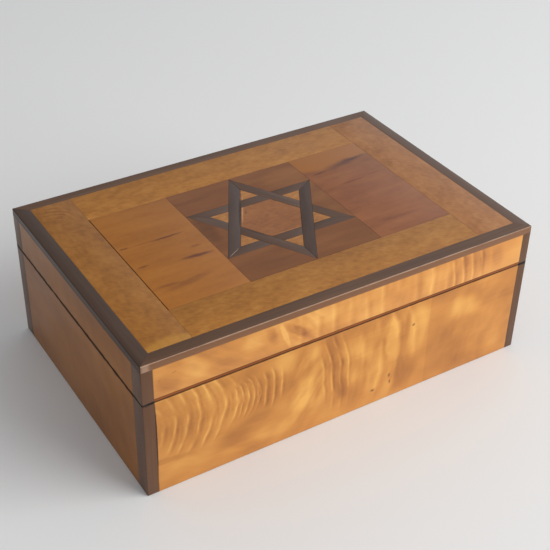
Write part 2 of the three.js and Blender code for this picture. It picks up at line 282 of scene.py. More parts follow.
class Grain:
    """The node graph that paints one timber on one piece, all in millimetres."""

    def __init__(self, tree: bpy.types.NodeTree, spot: Spot, seed: float) -> None:
        """Splits the piece's place into its face axes and its fibre axes.

        Args:
            tree: The material's node tree.
            spot: Where the piece lies.
            seed: Shifts every random pattern, so that no two pieces are alike.
        """
        self.add = partial(add, tree)
        self.spot = spot
        self.seed = seed
        place = self.add("ShaderNodeTexCoord").outputs["Object"]
        self.solid = self.add(PLACE, {"Vector": place, "Scale": (1 / MM,) * 3})
        split = self.add("ShaderNodeSeparateXYZ", [self.solid])
        self.axes = dict(zip("xyz", split.outputs, strict=True))
        self.across, self.up = (self.axes[a] for a in spot.face.value)
        self.point = self.add("ShaderNodeCombineXYZ", [self.across, self.up])
        self.fibres = self.add("ShaderNodeCombineXYZ", [self.axes[a] for a in spot.run.value])
        if spot.turn:
            swing = (0.0, 0.0, math.radians(spot.turn))
            self.fibres = self.add(
                PLACE, {"Vector": self.fibres, "Rotation": swing}, vector_type="TEXTURE"
            )

    def lumps(
        self, size: Sequence[float], seed: float, detail: float = 2.0, at: object = None
    ) -> bpy.types.Node:
        """Soft random light and dark lumps of one size.

        Args:
            size: How long the lumps are along each axis.
            seed: Shifts the lumps.
            detail: How many finer sizes are mixed in.
            at: Where the lumps lie, by default along the fibres.

        Returns:
            The noise node, from 0 to 1 and mostly near 0.5.
        """
        placed = self.add(
            PLACE,
            {
                "Vector": at or self.fibres,
                "Scale": [1 / s for s in size],
                "Location": (self.seed + seed) * SHIFT,
            },
        )
        return self.add("ShaderNodeTexNoise", {"Vector": placed, "Scale": 1.0, "Detail": detail})

    def pushed(self, amount: float, size: float, seed: float) -> bpy.types.Node:
        """The place on the show face, pushed about by a soft random amount.

        Args:
            amount: How far it may be pushed.
            size: How far apart the pushes are.
            seed: Shifts the pushes.

        Returns:
            The node with the pushed place.
        """
        noise = self.lumps((size,) * 3, seed, 1.0, self.point)
        centred = self.add(VECTOR, [noise.outputs["Color"], (0.5, 0.5, 0.5)], operation="SUBTRACT")
        flat = (2 * amount, 2 * amount, 0.0)
        return self.add(VECTOR, [centred, flat, self.point], operation="MULTIPLY_ADD")

    def inside(self, patch: Patch, at: object = None) -> bpy.types.Node:
        """How far inside a soft oval a point is.

        Args:
            patch: The oval.
            at: The place that is tested, by default the plain place on the face.

        Returns:
            The node, from 0 at the rim to 1 in the core.
        """
        local = self.add(
            PLACE,
            {
                "Vector": at or self.point,
                "Location": (*patch.place, 0.0),
                "Rotation": (0.0, 0.0, math.radians(patch.tilt)),
                "Scale": (*patch.reach, 1.0),
            },
            vector_type="TEXTURE",
        )
        away = self.add(VECTOR, [local], operation="LENGTH").outputs["Value"]
        return self.add(
            BETWEEN,
            {"Value": away, "From Min": 1.0, "From Max": patch.core},
            interpolation_type="SMOOTHSTEP",
        )

    def shifted(self, tone: object, change: object, strength: float) -> bpy.types.Node:
        """Moves a tone up or down by a pattern that is 0.5 where it does nothing.

        Args:
            tone: The tone so far.
            change: The pattern, from 0 to 1.
            strength: The largest move.

        Returns:
            The node with the new tone.
        """
        centred = self.add(MATH, [change, 0.5], operation="SUBTRACT")
        return self.add(MATH, [centred, 2 * strength, tone], operation="MULTIPLY_ADD")

    def glowed(self, tone: object, form: Glow, number: int) -> bpy.types.Node:
        """Adds one lighter or darker area to a tone.

        Args:
            tone: The tone so far.
            form: The area.
            number: Its place in the list, which varies the random parts.

        Returns:
            The node with the new tone.
        """
        narrow = min(form.where.reach)
        at = self.pushed(form.ragged * narrow, 1.6 * narrow, Draw.GLOW + number)
        inside = self.inside(form.where, at)
        return self.add(MATH, [inside, form.strength, tone], operation="MULTIPLY_ADD")

    def rippled(self, tone: object, form: Ripple, number: int) -> bpy.types.Node:
        """Adds one set of folds to a tone.

        Args:
            tone: The tone so far.
            form: The folds.
            number: Their place in the list, which varies the random parts.

        Returns:
            The node with the new tone.
        """
        at = self.pushed(form.warp, 2.6 * form.spacing, Draw.RIPPLE + number)
        local = self.add(
            PLACE,
            {
                "Vector": at,
                "Location": (*form.where.place, 0.0),
                "Rotation": (0.0, 0.0, math.radians(form.where.tilt)),
            },
            vector_type="TEXTURE",
        )
        split = self.add("ShaderNodeSeparateXYZ", [local])
        along = split.outputs[0]
        if form.bow:
            square = self.add(MATH, [split.outputs[1], 2.0], operation="POWER")
            along = self.add(MATH, [square, 0.5 / form.bow, along], operation="MULTIPLY_ADD")
        turns = self.add(MATH, [along, math.tau / form.spacing], operation="MULTIPLY")
        lean = self.add(MATH, [turns], operation="SINE")
        skewed = self.add(MATH, [lean, -form.skew, turns], operation="MULTIPLY_ADD")
        wave = self.add(MATH, [skewed], operation="SINE")
        if form.crest:
            # A high power leaves a thin bright line on each crest.
            half = self.add(MATH, [wave, 0.5, 0.5], operation="MULTIPLY_ADD")
            thin = self.add(MATH, [half, CREST_POWER], operation="POWER")
            wave = self.add(MATH, [thin, form.crest, wave], operation="MULTIPLY_ADD")
        # The folds fade away here and there.
        uneven = self.lumps((2.0 * form.spacing,) * 3, Draw.SWELL + number, 2.0, self.point)
        swell = self.add(MATH, [uneven, SWELL_GAIN, -SWELL_DROP], operation="MULTIPLY_ADD", use_clamp=True)
        level = self.add(MATH, [self.inside(form.where), swell], operation="MULTIPLY")
        scaled = self.add(MATH, [level, form.strength], operation="MULTIPLY")
        return self.add(MATH, [wave, scaled, tone], operation="MULTIPLY_ADD")

    def quilted(self, tone: object, form: Quilt, number: int) -> bpy.types.Node:
        """Adds one set of blotches to a tone.

        Args:
            tone: The tone so far.
            form: The blotches.
            number: Their place in the list, which varies the random parts.

        Returns:
            The node with the new tone.
        """
        at = self.pushed(0.35 * min(form.size), 1.5 * min(form.size), Draw.QUILT + number)
        turned = self.add(
            PLACE,
            {"Vector": at, "Rotation": (0.0, 0.0, math.radians(form.tilt))},
            vector_type="TEXTURE",
        )
        noise = self.lumps((*form.size, 20.0), Draw.BLOTCH + number, 2.0, turned)
        edge = 0.5 * (1 - form.crisp)
        blotch = self.add(
            BETWEEN,
            {"Value": noise, "From Min": 0.5 - edge, "From Max": 0.5 + edge, "To Min": -1.0},
            interpolation_type="SMOOTHSTEP",
        )
        level = self.add(MATH, [self.inside(form.where), form.strength], operation="MULTIPLY")
        return self.add(MATH, [blotch, level, tone], operation="MULTIPLY_ADD")

    def overlaid(
        self, colour: object, where: object, strength: float, shade: str
    ) -> bpy.types.NodeSocket:
        """Lays one shade over a colour where a pattern says.

        Args:
            colour: The colour so far.
            where: The pattern, from 0 to 1.
            strength: How far the shade covers the colour where the pattern is 1.
            shade: The sRGB hex colour.

        Returns:
            The new colour.
        """
        level = self.add(MATH, [where, strength], operation="MULTIPLY")
        made = self.add(
            BLEND,
            {"Factor_Float": level, "A_Color": colour, "B_Color": linear(shade)},
            data_type="RGBA",
        )
        return next(s for s in made.outputs if s.identifier == "Result_Color")

    def from_rim(self) -> bpy.types.Node:
        """How far a point of the show face is from the piece's own four sides.

        Returns:
            The node with the distance.
        """
        gaps = []
        for axis, socket in zip(self.spot.face.value, (self.across, self.up), strict=True):
            number = "xyz".index(axis)
            low = self.spot.low[number] / MM
            high = self.spot.high[number] / MM
            off = self.add(MATH, [socket, (low + high) / 2], operation="SUBTRACT")
            away = self.add(MATH, [off], operation="ABSOLUTE")
            gaps.append(self.add(MATH, [(high - low) / 2, away], operation="SUBTRACT"))
        return self.add(MATH, gaps, operation="MINIMUM")

    def outer_gaps(self) -> list[bpy.types.Node]:
        """How far a point is in from the box's own sides along X and Y, and from its top.

        Returns:
            The node with each distance.
        """
        gaps = []
        for outer, socket in zip(OUTER, self.axes.values(), strict=True):
            size = self.add(MATH, [socket], operation="ABSOLUTE")
            gaps.append(self.add(MATH, [outer / MM, size], operation="SUBTRACT"))
        return gaps

    def band(self, away: object, width: float, edge: Edge, at: object) -> bpy.types.Node:
        """Turns the distance from an edge into a soft band of uneven width.

        Args:
            away: The distance.
            width: How far the band reaches.
            edge: How uneven it is.
            at: The place that its unevenness is read at.

        Returns:
            The node, from 0 outside the band to 1 in its core.
        """
        uneven = self.lumps((edge.lump,) * 3, edge.draw, edge.detail, at)
        reach = self.add(MATH, [uneven, 2 * width], operation="MULTIPLY")
        return self.add(
            BETWEEN,
            {"Value": away, "From Min": reach, "From Max": edge.core},
            interpolation_type="SMOOTHSTEP",
        )

    def at_parting(self, height: float, width: float) -> bpy.types.Node:
        """Where shade is painted along the parting between the base and the lid.

        Args:
            height: The height of the parting.
            width: How far the painted shade reaches from it.

        Returns:
            The node, from 0 to 1 at the parting.
        """
        off = self.add(MATH, [self.axes["z"], height], operation="SUBTRACT")
        away = self.add(MATH, [off], operation="ABSOLUTE")
        inward = self.add(MATH, self.outer_gaps()[:2], operation="MINIMUM")
        away = self.add(MATH, [away, inward], operation="MAXIMUM")
        return self.band(away, width, PARTING_EDGE, self.solid)

    def on_arris(self, width: float) -> bpy.types.Node:
        """Where the box's own top arrises are paler, partly from wear and partly as a painted highlight.

        Args:
            width: How far the pale band reaches from the arris.

        Returns:
            The node, from 0 to 1 at the arris.
        """
        gaps = self.outer_gaps()
        inward = self.add(MATH, gaps[:2], operation="MINIMUM")
        away = self.add(MATH, [inward, gaps[2]], operation="MAXIMUM")
        return self.band(away, width, ARRIS_EDGE, self.solid)


@dataclass(frozen=True)
class Timber:
    """One cut of timber under old shellac.

    Its tone runs from dark at 0 through middle at 0.5 to bright at 1. Real fibres and pores are
    about 0.15 mm wide, and these are drawn some 0.7 mm wide, as coarse as they need to be to show.
    """

    name: str
    dark: str
    middle: str
    bright: str
    cloud: tuple[float, float] = (60.0, 18.0)
    cloud_strength: float = 0.5
    fibre: tuple[float, float] = (40.0, 0.7)
    fibre_strength: float = 0.2
    mottle: float = 5.0
    mottle_strength: float = 0.0
    glows: tuple[Glow, ...] = ()
    ripples: tuple[Ripple, ...] = ()
    quilts: tuple[Quilt, ...] = ()
    marks: tuple[Mark, ...] = ()
    seam: float | None = None
    seam_drop: float = 0.12
    joint: float = 0.35
    joint_width: float = 0.5
    joint_shade: str = "#1d0f08"
    # Painted shade along the parting between the base and the lid: its strength, width and colour.
    parting_shade: float = 0.0
    parting_shade_width: float = 0.9
    parting_shade_colour: str = "#1e0d05"
    # A pale band along the box's top arrises, partly wear and partly a painted highlight: strength, width
    # and colour.
    wear_and_sheen: float = 0.0
    wear_and_sheen_width: float = 1.1
    wear_and_sheen_colour: str = "#c09a74"
    roughness: float = 0.4
    # How much the painted shade at the parting also dulls the polish.
    parting_dulling: float = 0.4
    handling: tuple[float, float] = (38.0, 26.0)
    handling_dulling: float = 0.11
    fibre_dulling: float = 0.05
    shine: float = 0.35
    polish: float = 0.15
    polish_roughness: float = 0.22
    relief: float = 0.02
    glue_depth: float = 0.6
    seed: float = 0.0

    def tone(self, grain: Grain, fine: bpy.types.Node) -> bpy.types.Node:
        """Adds up the light and dark of the figure.

        Args:
            grain: The piece's graph.
            fine: The fibres.

        Returns:
            The node with the tone.
        """
        broad = grain.lumps((*self.cloud, self.cloud[1]), Draw.CLOUD)
        tone = grain.shifted(0.5, broad, self.cloud_strength)
        tone = grain.shifted(tone, fine, self.fibre_strength)
        if self.mottle_strength:
            size = (1.6 * self.mottle, self.mottle, self.mottle)
            mottle = grain.lumps(size, Draw.MOTTLE, 3.0)
            tone = grain.shifted(tone, mottle, self.mottle_strength)
        for number, glow in enumerate(self.glows):
            tone = grain.glowed(tone, glow, number)
        for number, ripple in enumerate(self.ripples):
            tone = grain.rippled(tone, ripple, number)
        for number, quilt in enumerate(self.quilts):
            tone = grain.quilted(tone, quilt, number)
        if self.seam is not None:
            beyond = grain.add(MATH, [grain.across, self.seam], operation="GREATER_THAN")
            tone = grain.add(MATH, [beyond, -self.seam_drop, tone], operation="MULTIPLY_ADD")
        return tone

    def colour(
        self, grain: Grain, fine: bpy.types.Node, line: bpy.types.Node, parting: object
    ) -> bpy.types.NodeSocket:
        """Colours the tone, then lays the marks, the glue line, the painted shade at the parting and the
        pale arris over it.

        Args:
            grain: The piece's graph.
            fine: The fibres.
            line: How near the glue line is, from 0 to 1.
            parting: How near the parting is, from 0 to 1, where shade is painted, or None if the piece has
                none.

        Returns:
            The colour.
        """
        colour = grain.add(
            "ShaderNodeValToRGB",
            [self.tone(grain, fine)],
            stops=((0.0, self.dark), (0.5, self.middle), (1.0, self.bright)),
        ).outputs["Color"]
        for number, mark in enumerate(self.marks):
            narrow = min(mark.where.reach)
            at = grain.pushed(mark.ragged * narrow, 2.5 * narrow, Draw.MARK + number)
            inside = grain.inside(mark.where, at)
            colour = grain.overlaid(colour, inside, mark.strength, mark.shade)
        colour = grain.overlaid(colour, line, self.joint, self.joint_shade)
        # Painted shade along the parting between the base and the lid.
        if parting:
            colour = grain.overlaid(colour, parting, self.parting_shade, self.parting_shade_colour)
        # A pale band on the top arrises: partly wear, partly a painted highlight.
        if self.wear_and_sheen:
            arris = grain.on_arris(self.wear_and_sheen_width)
            colour = grain.overlaid(colour, arris, self.wear_and_sheen, self.wear_and_sheen_colour)
        return colour

    def paint(self, spot: Spot) -> bpy.types.Material:
        """Makes this timber's material for one piece.

        Args:
            spot: Where the piece lies and how it is laid.

        Returns:
            The material.
        """
        material = bpy.data.materials.new(f"{self.name}.{spot.name}")
        material.use_nodes = True
        tree = material.node_tree
        tree.nodes.clear()
        grain = Grain(tree, spot, self.seed)
        fine = grain.lumps((*self.fibre, self.fibre[1]), Draw.FIBRE, 3.0)
        # The glue line round the piece is wider and darker where old polish has gathered.
        line = grain.band(grain.from_rim(), self.joint_width, GLUE_EDGE, grain.point)
        # Painted shade along the parting between the base and the lid; it also dulls the polish there.
        parting = grain.at_parting(RIM, self.parting_shade_width) if self.parting_shade else None
        dull = self.roughness
        if parting:
            dulling = self.parting_shade * self.parting_dulling
            dull = grain.add(MATH, [parting, dulling, dull], operation="MULTIPLY_ADD")

        # Handled patches of the shellac are duller, and the fibres stand in it as fine ridges.
        handled = grain.lumps((*self.handling, self.handling[1]), Draw.HANDLING, 4.0)
        rough = grain.shifted(dull, handled, self.handling_dulling)
        rough = grain.shifted(rough, fine, self.fibre_dulling)
        height = grain.add(MATH, [line, -self.glue_depth, fine], operation="MULTIPLY_ADD")
        bump = grain.add(
            "ShaderNodeBump", {"Height": height, "Strength": 0.6, "Distance": self.relief * MM}
        )
        shader = grain.add(
            "ShaderNodeBsdfPrincipled",
            {
                "Base Color": self.colour(grain, fine, line, parting),
                "Roughness": rough,
                "Normal": bump,
                "IOR": 1.5,
                "Specular IOR Level": self.shine,
                "Coat Weight": self.polish,
                "Coat Roughness": self.polish_roughness,
            },
        )
        grain.add("ShaderNodeOutputMaterial", {"Surface": shader})
        return material


@dataclass(frozen=True)
class Brass:
    """Old cast brass: yellow where it is worn bright and brown where it has tarnished.

    Its file marks are drawn 0.25 mm wide, coarser than the real 0.05 mm, so that they show.
    """

    name: str = "cast_brass"
    wear_and_sheen: str = "#a88b56"
    tarnish: str = "#77603a"
    patch: float = 7.0
    file_mark: tuple[float, float] = (12.0, 0.25)
    roughness: float = 0.42
    tarnish_dulling: float = 0.25
    relief: float = 0.02
    seed: float = 3.0

    def paint(self) -> bpy.types.Material:
        """Makes the material, or returns the one that is made already.

        Returns:
            The material.
        """
        made = bpy.data.materials.get(self.name)
        if made:
            return made
        material = bpy.data.materials.new(self.name)
        material.use_nodes = True
        material.node_tree.nodes.clear()
        spot = Spot(self.name, Face.TOP, Run.X, LOW, HIGH)
        grain = Grain(material.node_tree, spot, self.seed)
        patches = grain.lumps((self.patch,) * 3, Draw.CLOUD, 4.0, grain.solid)
        lines = grain.lumps((*self.file_mark, self.file_mark[1]), Draw.FIBRE, 2.0)
        colour = grain.add(
            "ShaderNodeValToRGB", [patches], stops=((0.3, self.tarnish), (0.7, self.wear_and_sheen))
        )
        rough = grain.shifted(self.roughness, patches, -self.tarnish_dulling)
        bump = grain.add(
            "ShaderNodeBump", {"Height": lines, "Strength": 0.4, "Distance": self.relief * MM}
        )
        shader = grain.add(
            "ShaderNodeBsdfPrincipled",
            {"Base Color": colour, "Metallic": 1.0, "Roughness": rough, "Normal": bump},
        )
        grain.add("ShaderNodeOutputMaterial", {"Surface": shader})
        return material


# ---------------------------------------------------------------- timbers

# Figured satinwood, knife-cut: golden, with rippled fibres that catch the light.
SATINWOOD = Timber(
    "knife_cut_satinwood",
    "#8e5322", "#c07f38", "#e0a552",
    cloud=(42, 26),
    cloud_strength=0.45,
    fibre_strength=0.08,
)
# The boldest leaf, laid on the base's front: folds, ripples and worm holes, and a seam at the right.
FRONT_VENEER = replace(
    SATINWOOD,
    glows=(
        Glow(Patch((-136, 24), (26, 3.5), -6), -0.22),
        Glow(Patch((-88, 21), (22, 11), 20), -0.17),
        Glow(Patch((-68, 30), (14, 6)), -0.14),
        Glow(Patch((-124, 10), (24, 12)), 0.10),
        Glow(Patch((-62, 14), (18, 10), 10), 0.16),
        Glow(Patch((-50, 66), (13, 12), -35), 0.26),
        Glow(Patch((-34, 36), (11, 20), -24), 0.30),
        Glow(Patch((-45, 16), (26, 7), 40), 0.16),
        Glow(Patch((-26, 60), (6, 15)), 0.16),
        Glow(Patch((-11, 50), (9, 34), 8), -0.22),
        Glow(Patch((-4, 28), (7, 15), 6), -0.26),
        Glow(Patch((9, 55), (6, 14)), 0.16),
        Glow(Patch((36, 50), (9, 22), 6, 0.6), 0.26, 0.5),
        Glow(Patch((24, 26), (12, 22), -14), 0.16),
        Glow(Patch((47, 18), (14, 20)), -0.20),
        Glow(Patch((48, 60), (3.5, 18)), -0.18),
        Glow(Patch((57, 50), (11, 28), 0, 0.5), 0.26),
        Glow(Patch((80, 26), (16, 28)), -0.14),
        Glow(Patch((100, 55), (20, 15), -20), 0.32, 0.5),
        Glow(Patch((128, 30), (14, 34)), 0.14),
    ),
    ripples=(
        Ripple(8.6, Patch((-114, 52), (38, 31), 0, 0.7), 0.22, 38, 3, 0.8, 0.9),
        Ripple(3.6, Patch((-112, 48), (40, 24), 0, 0.5), 0.05, 38, 1.8, 0.3),
        Ripple(4.2, Patch((-78, 51), (15, 19), 0, 0.5), 0.26, 24, 1.4, 0.6, 0.6),
        Ripple(6.4, Patch((-60, 51), (14, 19), 0, 0.5), 0.24, 60, 1.8, 0.6, 0.8),
        Ripple(6.6, Patch((-9, 42), (16, 40), 7, 0.5), 0.26, 160, 2, 0.8, 0.6),
        Ripple(14, Patch((35, 44), (36, 50), 3, 0.5), 0.15, 120, 4, 0.9, 0.5),
    ),
    quilts=(
        Quilt((30, 9), Patch((-90, 12), (70, 20)), 0.14, -14, 0.3),
        Quilt((26, 10), Patch((-100, 62), (60, 22)), 0.12, 70, 0.2),
        Quilt((22, 8), Patch((-32, 40), (20, 46), 0, 0.5), 0.22, 58, 0.4),
        Quilt((26, 9), Patch((26, 38), (36, 52), 0, 0.5), 0.16, 82, 0.4),
        Quilt((26, 12), Patch((105, 38), (44, 50), 0, 0.6), 0.15, 70, 0.2),
    ),
    marks=(
        Mark(Patch((-141.9, 45), (1, 38), 0, 0.5), 0.95, "#2a1206", 0.2),
        Mark(Patch((22, 12), (2.2, 1.5)), 0.75, "#5e3414"),
        Mark(Patch((35.5, 20), (1.3, 2.4), -10), 0.7, "#5e3414"),
        Mark(Patch((36.5, 14), (1.1, 2.6), 8), 0.7, "#5e3414"),
        Mark(Patch((53, 57), (1.7, 1.5)), 0.7, "#5e3414"),
    ),
    seam=66.5,
    seam_drop=0.1,
    joint=0.55,
    # Painted shade along the parting.
    parting_shade=0.6,
)
# A brighter leaf on the lid's front, with slanting swirls at the left and upright folds beyond.
LID_FRONT_VENEER = replace(
    SATINWOOD,
    dark="#96592a", middle="#c9873f", bright="#e6ac5b",
    glows=(
        Glow(Patch((-132, 85), (13, 9), -20), -0.22),
        Glow(Patch((-114, 90), (9, 16), 36), 0.20),
        Glow(Patch((-90, 84), (20, 5), -28), -0.10),
        Glow(Patch((-74, 92), (10, 12), 24), 0.18),
        Glow(Patch((-60, 93), (4.6, 11), 24, 0.1), -0.34, 0.6),
        Glow(Patch((-50.5, 89), (2.6, 13), 20, 0.5), 0.30),
        Glow(Patch((-42, 90), (4, 15), 50, 0.5), -0.26),
        Glow(Patch((-20, 93), (18, 8)), 0.16),
        Glow(Patch((66, 88), (13, 14)), 0.16),
        Glow(Patch((93, 95), (4, 8), 12), -0.16),
        Glow(Patch((108, 89), (3, 14), 8), -0.18),
        Glow(Patch((122, 88), (7, 14)), -0.14),
    ),
    ripples=(
        Ripple(13, Patch((20, 88), (76, 40), 4, 0.7), 0.13, None, 3, 0.9, 0.5),
        Ripple(8, Patch((97, 88), (24, 30), 6, 0.5), 0.20, 60, 1.6, 0.8, 0.5),
    ),
    quilts=(
        Quilt((34, 7), Patch((-100, 88), (48, 40), 0, 0.7), 0.14, -34, 0.3),
        Quilt((26, 6), Patch((-34, 88), (20, 30), 0, 0.5), 0.18, -46, 0.4),
        Quilt((18, 9), Patch((40, 88), (70, 40), 0, 0.6), 0.10, 78, 0.3),
    ),
    marks=(
        Mark(Patch((-128, 92.5), (2.6, 0.8), 14), 0.4, "#8a5520"),
        Mark(Patch((-138, 90), (1.6, 0.8)), 0.35, "#8a5520"),
    ),
    seed=5.3,
)
# Quiet leaves at the sides: browner and darker than the front as painted shade, with painted shade along
# the parting.
SHADED_SIDE_VENEER = replace(
    SATINWOOD,
    dark="#6b4220", middle="#96602e", bright="#ae7741",
    cloud=(80, 30),
    cloud_strength=0.35,
    quilts=(Quilt((30, 10), Patch((0, 50), (140, 90), 0, 0.8), 0.08, 70, 0.3),),
    shine=0.2,
    polish=0.06,
    parting_shade=1,
    parting_shade_width=2.2,
    parting_shade_colour="#2c1608",
    seed=9.1,
)
# Mottled leaves round the top, whose short curls give a grainy, even gold.
BORDER = replace(
    SATINWOOD,
    dark="#774618", middle="#a26a2a", bright="#bb8440",
    cloud=(26, 14),
    cloud_strength=0.3,
    mottle=3.4,
    mottle_strength=0.28,
    quilts=(
        Quilt((18, 8), Patch((0, 0), (400, 300), 0, 0.9), 0.08, 24, 0.2),
        Quilt((4.4, 1.3), Patch((0, 0), (400, 300), 0, 0.9), 0.11, -30, 0.3),
    ),
    shine=0.22,
    polish=0.1,
    joint=0.18,
    seed=13.7,
)
LEFT_BORDER = replace(
    BORDER,
    dark="#6e3f14", middle="#966022", bright="#b07838",
    ripples=(Ripple(4.2, Patch((-126, 78), (13, 15), 60), 0.22, 14, 2.6, 0.6, 0.5),),
    marks=(Mark(Patch((-126, -96), (30, 16), 0, 0.7), 0.45, "#bf8a38"),),
)
RIGHT_BORDER = replace(BORDER, dark="#74451f", middle="#9e683a", bright="#b78150", shine=0.35)
# An orange leaf with reddish gum streaks along the grain.
LEFT_FIELD = replace(
    SATINWOOD,
    dark="#774212", middle="#a06324", bright="#b67a34",
    cloud=(60, 12),
    cloud_strength=0.3,
    mottle=3,
    mottle_strength=0.1,
    marks=(
        Mark(Patch((-73, 14), (16, 1.3), 2), 0.75),
        Mark(Patch((-105, 15), (5, 1.2)), 0.6),
        Mark(Patch((-84, 14.6), (26, 0.7), 1), 0.5, "#6b3a1c"),
        Mark(Patch((-66, -15.5), (15, 2.4), -3), 0.8),
        Mark(Patch((-62, -5), (6, 2)), 0.4),
        Mark(Patch((-103, -10), (6, 1.4)), 0.55),
        Mark(Patch((-85, -39), (26, 4.5), 8), 0.35),
        Mark(Patch((-98, -36), (12, 2), -4), 0.35),
    ),
    shine=0.2,
    polish=0.08,
    joint=0.2,
    joint_width=0.4,
    seed=21.9,
)
# Kauri, knife-cut: red-brown with purplish streaks, and a paler band at its back edge.
RIGHT_FIELD = replace(
    SATINWOOD,
    name="knife_cut_kauri",
    dark="#5f3520", middle="#8a5331", bright="#a46c40",
    cloud=(50, 12),
    cloud_strength=0.35,
    mottle=4,
    mottle_strength=0.12,
    marks=(
        Mark(Patch((85, 54), (56, 19), 4, 0.7), 0.85, "#a4682f"),
        Mark(Patch((90, 38), (30, 5.5), 6, 0.1), 0.8, "#4f2c2c", 0.6),
        Mark(Patch((98, 40), (16, 1.2), 7, 0.1), 0.6, "#3f2020", 0.8),
        Mark(Patch((63, 33.5), (9, 1.2), 4), 0.6, "#4f2c2c"),
        Mark(Patch((78, 12.5), (14, 1.5), 3), 0.55, "#6b2c1a"),
        Mark(Patch((98, 14.5), (8, 1.2), 6), 0.45, "#6b2c1a"),
        Mark(Patch((80, -43), (22, 2.2)), 0.35, "#6d3a26"),
    ),
    shine=0.28,
    polish=0.1,
    joint=0.3,
    seed=29.3,
)
# Knife-cut mahogany ground behind the star: red-brown, with soft level bands.
GROUND = Timber(
    "knife_cut_mahogany",
    "#5a3315", "#7a4924", "#925f33",
    cloud=(44, 10),
    cloud_strength=0.35,
    fibre=(24, 0.8),
    fibre_strength=0.16,
    glows=(
        Glow(Patch((-46, 8), (9, 26)), -0.34),
        Glow(Patch((36, 42), (26, 20)), 0.26),
        Glow(Patch((46, 4), (9, 26)), 0.1),
    ),
    shine=0.22,
    polish=0.08,
    joint=0.5,
    seed=33.1,
)
# A lifted seam beside the hexagon, dark in the gap and pale beside it, and an open mitre.
STRIP_MARKS = (
    Mark(Patch((-15.8, 16), (22, 0.8), 60, 0.5), 0.9, "#1a0d06", 0.2),
    Mark(Patch((-19, -11.4), (13, 0.6), -60, 0.5), 0.7, "#1a0d06", 0.3),
    Mark(Patch((-43.6, -25.2), (8, 0.4), 30, 0.5), 0.75, "#a89078", 0.3),
)
SLIP_MARKS = (
    Mark(Patch((-12.1, 18.2), (24, 0.5), 60, 0.5), 0.6, "#c89a70", 0.2),
    Mark(Patch((2, -20.2), (14, 0.4), 0, 0.5), 0.35, "#c89a70", 0.4),
)
# Planed walnut strips of the star: grey-brown and quiet. The upper pair is the greyer.
STAR_WALNUT = Timber(
    "planed_walnut",
    "#3a281d", "#533a2b", "#674c3a",
    cloud=(30, 5),
    cloud_strength=0.35,
    fibre=(18, 0.6),
    fibre_strength=0.2,
    marks=STRIP_MARKS,
    shine=0.3,
    polish=0.1,
    roughness=0.42,
    joint=0.2,
    joint_width=0.3,
    seed=37.7,
)
UPPER_WALNUT = replace(STAR_WALNUT, dark="#33251d", middle="#47342b", bright="#584338")
# Rosewood edging and corner strips, planed square: dark warm brown with a straight grain.
ROSEWOOD = Timber(
    "planed_rosewood",
    "#3b271a", "#573b27", "#6f4f38",
    cloud=(70, 4),
    cloud_strength=0.3,
    fibre=(36, 0.7),
    fibre_strength=0.2,
    joint=0,
    shine=0.3,
    roughness=0.42,
    seed=41.1,
)
# The same timber at the front: paler, with painted light on its front face, and the polish gone from the
# arris.
WORN_AND_LIT_ROSEWOOD = replace(
    ROSEWOOD,
    dark="#3f2a1c", middle="#5a3d28", bright="#78553a",
    marks=(
        # Painted light on the front face, and a painted highlight at the front-left corner.
        Mark(Patch((0, -102.3), (900, 2.9), 0, 0.8), 0.8, "#7d5436", 0),
        Mark(Patch((-146.5, -101), (4.5, 1.8), 0, 0.5), 0.6, "#a88c76", 0.1),
    ),
    # The pale top arris is partly wear and partly a painted highlight.
    wear_and_sheen=0.5,
    wear_and_sheen_width=0.8,
    wear_and_sheen_colour="#b4957a",
)
# The left edging: darker all over, as painted shade.
SHADED_LEFT_ROSEWOOD = replace(ROSEWOOD, dark="#2b1b12", middle="#402a1b", bright="#56402d", shine=0.22)
# The right-hand edging keeps more of its polish and so looks greyer in the light.
RIGHT_ROSEWOOD = replace(ROSEWOOD, shine=0.6, polish=0.35)
# Corner strips, with painted shade along the parting.
CORNER = replace(ROSEWOOD, dark="#42291a", middle="#5c3d27", bright="#735036", parting_shade=1, parting_shade_width=1.8)
# Padauk strip above the parting: deep red-brown, and dark at its glued edge.
RED_STRIP = replace(
    ROSEWOOD,
    name="planed_padauk",
    dark="#522410", middle="#86481a", bright="#a06028",
    shine=0.15,
    joint=0.55,
    # Painted shade along the parting below it.
    parting_shade=0.5,
    seed=43.9,
)
# Burr satinwood in the hexagon: reddish, with small dark eyes.
HEXAGON = replace(
    BORDER,
    name="burr_satinwood",
    dark="#6b3f1c", middle="#8e582f", bright="#a56d40",
    mottle=2.6,
    mottle_strength=0.3,
    marks=SLIP_MARKS
    + (
        Mark(Patch((-1, 4), (3.4, 1.6), 20), 0.4, "#6e3c20"),
        Mark(Patch((-8, -3), (4, 0.9), 10), 0.4, "#6e3c20"),
        Mark(Patch((7, 3), (3, 1), 60), 0.35, "#6e3c20"),
        Mark(Patch((-12, 14), (1.2, 3), -30), 0.55, "#5a3018"),
    ),
    joint=0.25,
    joint_width=0.3,
    seed=47,
)
# Slips cut from the border's leaves, in the star's points.
POINT = replace(
    BORDER,
    dark="#7a4c20", middle="#a26a34", bright="#bb8247",
    mottle=3,
    mottle_strength=0.5,
    marks=SLIP_MARKS,
    joint=0,
    seed=51,
)
# Bare cedar boards: matt and pinkish inside the box.
CEDAR = Timber(
    "planed_cedar",
    "#7a4a2e", "#a97248", "#c08a5c",
    cloud=(90, 10),
    cloud_strength=0.35,
    fibre=(50, 0.8),
    fibre_strength=0.35,
    roughness=0.62,
    polish=0,
    relief=0.04,
    joint=0.2,
    seed=55,
)


# ---------------------------------------------------------------- meshes


MERGE_DISTANCE = 0.002
FLAT_WITHIN = 0.5  # degrees


